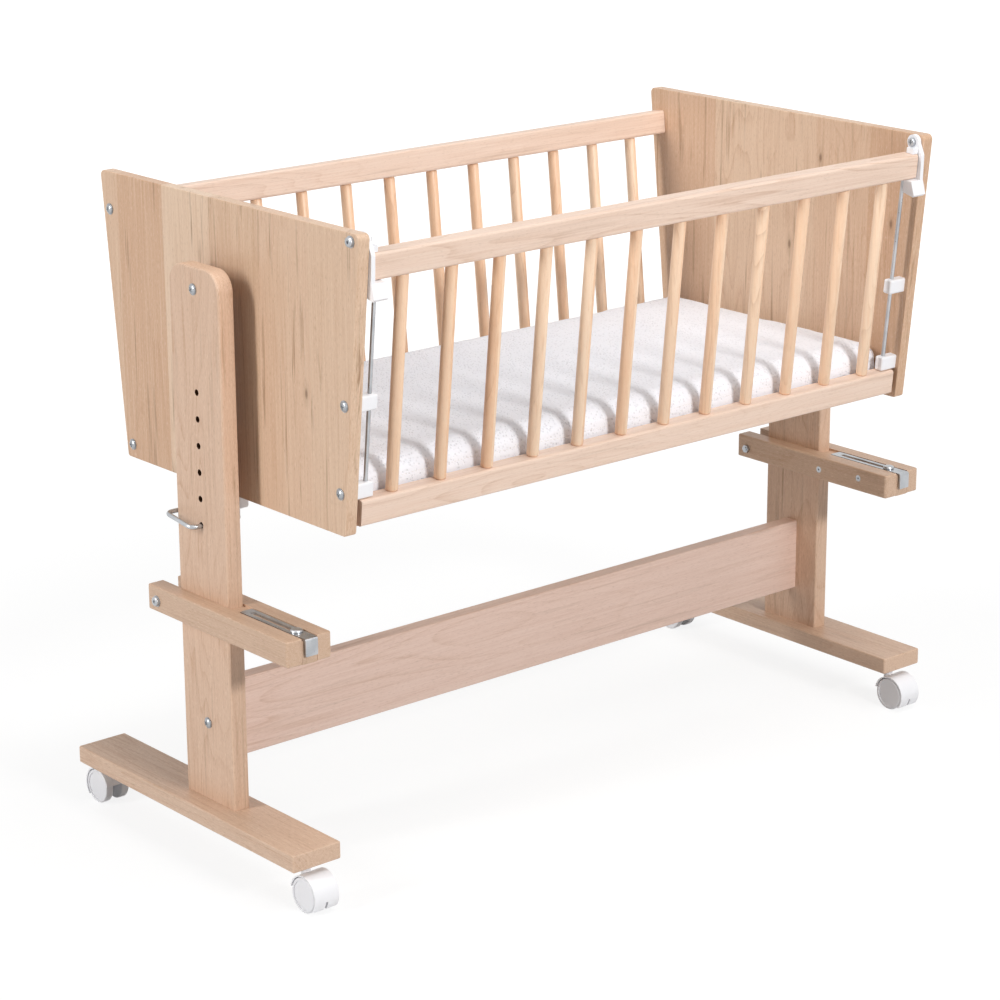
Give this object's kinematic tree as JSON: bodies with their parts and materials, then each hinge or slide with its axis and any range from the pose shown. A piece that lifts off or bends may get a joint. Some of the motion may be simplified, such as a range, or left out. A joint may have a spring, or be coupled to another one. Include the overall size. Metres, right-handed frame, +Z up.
{
  "type": "bedside sleeper crib",
  "caption": "Bedside sleeper crib: a box with sloping barred sides and solid ends, hung between two posts on a wheeled stand, with a drop side, pull-out height pins and bed hooks.",
  "frame": {"origin": "on the floor under the middle of the whole outline, bottom centre of the bounding box", "axes": "+X along the crib, +Y away from the parents' bed so that the drop side and the bed hooks face -Y, +Z up"},
  "size_m": [1.081, 0.5322, 0.8158],
  "materials": {
    "beech_panel": "satin lacquer over upright laminated staves",
    "beech_post": "satin lacquer",
    "beech_rail": "satin lacquer",
    "beech_spindle": "satin lacquer, turned",
    "white_plastic": "moulded gloss white",
    "nylon": "natural nylon",
    "channel": "mill finish",
    "zinc_steel": "bright zinc plate",
    "cotton": "woven cotton cover with a piped seam"
  },
  "bodies": {
    "stand": {"foot_right": "beech_post", "foot_left": "beech_post", "post_right": "beech_post", "post_left": "beech_post", "stretcher": "beech_rail", "arm_outer_rail_right": "beech_rail", "arm_outer_rail_left": "beech_rail", "arm_inner_rail_right": "beech_rail", "arm_inner_rail_left": "beech_rail", "arm_block_right": "beech_rail", "arm_block_left": "beech_rail", "stand_screws": "zinc_steel", "stretcher_bolts": "zinc_steel", "guide_bolts": "zinc_steel", "guide_bushes": "nylon", "arm_bolts": "zinc_steel", "clamp_bolts": "zinc_steel", "caster_stems": "zinc_steel"},
    "crib": {"end_panel_right": "beech_panel", "end_panel_left": "beech_panel", "back_bottom_rail": "beech_rail", "back_top_rail": "beech_rail", "back_spindles": "beech_spindle", "base_board": "beech_rail", "long_battens": "beech_rail", "end_battens": "beech_rail", "mattress": "cotton", "guide_blocks_mid": "white_plastic", "guide_blocks_low": "white_plastic", "latch_studs": "zinc_steel", "panel_bolts": "zinc_steel", "slide_channels": "channel", "pin_saddles": "white_plastic", "crib_screws": "zinc_steel"},
    "drop_side": {"front_top_rail": "beech_rail", "front_bottom_rail": "beech_rail", "front_spindles": "beech_spindle", "guide_rods": "zinc_steel"},
    "caster_hood_front_right": {"caster_hood_front_right": "white_plastic"},
    "caster_hood_front_left": {"caster_hood_front_left": "white_plastic"},
    "wheel_front_outer_right": {"wheel_front_outer_right": "white_plastic"},
    "wheel_front_outer_left": {"wheel_front_outer_left": "white_plastic"},
    "wheel_front_inner_right": {"wheel_front_inner_right": "white_plastic"},
    "wheel_front_inner_left": {"wheel_front_inner_left": "white_plastic"},
    "caster_hood_back_right": {"caster_hood_back_right": "white_plastic"},
    "caster_hood_back_left": {"caster_hood_back_left": "white_plastic"},
    "wheel_back_outer_right": {"wheel_back_outer_right": "white_plastic"},
    "wheel_back_outer_left": {"wheel_back_outer_left": "white_plastic"},
    "wheel_back_inner_right": {"wheel_back_inner_right": "white_plastic"},
    "wheel_back_inner_left": {"wheel_back_inner_left": "white_plastic"},
    "hook_right": {"hook_right": "zinc_steel"},
    "hook_left": {"hook_left": "zinc_steel"},
    "hand_nut_right": {"hand_nut_right": "zinc_steel"},
    "hand_nut_left": {"hand_nut_left": "zinc_steel"},
    "pin_right": {"pin_right": "zinc_steel"},
    "pin_left": {"pin_left": "zinc_steel"},
    "latch_right": {"latch_right": "white_plastic"},
    "latch_left": {"latch_left": "white_plastic"}
  },
  "joints": [
    {"name": "crib_height", "type": "slide", "parent": "stand", "child": "crib", "axis": [0, 0, 1], "range_m": [0, 0.163]},
    {"name": "drop_side_slide", "type": "slide", "parent": "crib", "child": "drop_side", "axis": [0, 0.1005, -0.9949], "range_m": [0, 0.13191]},
    {"name": "latch_left_swing", "type": "hinge", "parent": "crib", "child": "latch_left", "pos_m": [-0.44885, -0.24663, 0.80626], "axis": [-1, 0, 0], "range_deg": [0, 135.5]},
    {"name": "pin_left_pull", "type": "slide", "parent": "stand", "child": "pin_left", "axis": [-1, 0, 0], "range_m": [0, 0.065]},
    {"name": "hook_left_reach", "type": "slide", "parent": "stand", "child": "hook_left", "axis": [0, -1, 0], "range_m": [0, 0.085]},
    {"name": "hand_nut_left_turn", "type": "hinge", "parent": "stand", "child": "hand_nut_left", "pos_m": [-0.5025, -0.17366, 0.308], "axis": [0, 0, 1], "continuous": true},
    {"name": "swivel_front_left", "type": "hinge", "parent": "stand", "child": "caster_hood_front_left", "pos_m": [-0.5055, -0.18366, 0.057], "axis": [0, 0, 1], "continuous": true},
    {"name": "roll_front_outer_left", "type": "hinge", "parent": "caster_hood_front_left", "child": "wheel_front_outer_left", "pos_m": [-0.5055, -0.20066, 0.022], "axis": [1, 0, 0], "continuous": true},
    {"name": "roll_front_inner_left", "type": "hinge", "parent": "caster_hood_front_left", "child": "wheel_front_inner_left", "pos_m": [-0.5055, -0.20066, 0.022], "axis": [1, 0, 0], "continuous": true},
    {"name": "swivel_back_left", "type": "hinge", "parent": "stand", "child": "caster_hood_back_left", "pos_m": [-0.5055, 0.22434, 0.057], "axis": [0, 0, 1], "continuous": true},
    {"name": "roll_back_outer_left", "type": "hinge", "parent": "caster_hood_back_left", "child": "wheel_back_outer_left", "pos_m": [-0.5055, 0.24134, 0.022], "axis": [1, 0, 0], "continuous": true},
    {"name": "roll_back_inner_left", "type": "hinge", "parent": "caster_hood_back_left", "child": "wheel_back_inner_left", "pos_m": [-0.5055, 0.24134, 0.022], "axis": [1, 0, 0], "continuous": true},
    {"name": "latch_right_swing", "type": "hinge", "parent": "crib", "child": "latch_right", "pos_m": [0.44885, -0.24663, 0.80626], "axis": [-1, 0, 0], "range_deg": [0, 135.5]},
    {"name": "pin_right_pull", "type": "slide", "parent": "stand", "child": "pin_right", "axis": [1, 0, 0], "range_m": [0, 0.065]},
    {"name": "hook_right_reach", "type": "slide", "parent": "stand", "child": "hook_right", "axis": [0, -1, 0], "range_m": [0, 0.085]},
    {"name": "hand_nut_right_turn", "type": "hinge", "parent": "stand", "child": "hand_nut_right", "pos_m": [0.5025, -0.17366, 0.308], "axis": [0, 0, 1], "continuous": true},
    {"name": "swivel_front_right", "type": "hinge", "parent": "stand", "child": "caster_hood_front_right", "pos_m": [0.5055, -0.18366, 0.057], "axis": [0, 0, 1], "continuous": true},
    {"name": "roll_front_outer_right", "type": "hinge", "parent": "caster_hood_front_right", "child": "wheel_front_outer_right", "pos_m": [0.5055, -0.20066, 0.022], "axis": [1, 0, 0], "continuous": true},
    {"name": "roll_front_inner_right", "type": "hinge", "parent": "caster_hood_front_right", "child": "wheel_front_inner_right", "pos_m": [0.5055, -0.20066, 0.022], "axis": [1, 0, 0], "continuous": true},
    {"name": "swivel_back_right", "type": "hinge", "parent": "stand", "child": "caster_hood_back_right", "pos_m": [0.5055, 0.22434, 0.057], "axis": [0, 0, 1], "continuous": true},
    {"name": "roll_back_outer_right", "type": "hinge", "parent": "caster_hood_back_right", "child": "wheel_back_outer_right", "pos_m": [0.5055, 0.24134, 0.022], "axis": [1, 0, 0], "continuous": true},
    {"name": "roll_back_inner_right", "type": "hinge", "parent": "caster_hood_back_right", "child": "wheel_back_inner_right", "pos_m": [0.5055, 0.24134, 0.022], "axis": [1, 0, 0], "continuous": true}
  ],
  "couplings": [
    {"joint": "latch_left_swing", "follows": "drop_side_slide", "rad_per_m": 17.862},
    {"joint": "latch_right_swing", "follows": "drop_side_slide", "rad_per_m": 17.862}
  ]
}
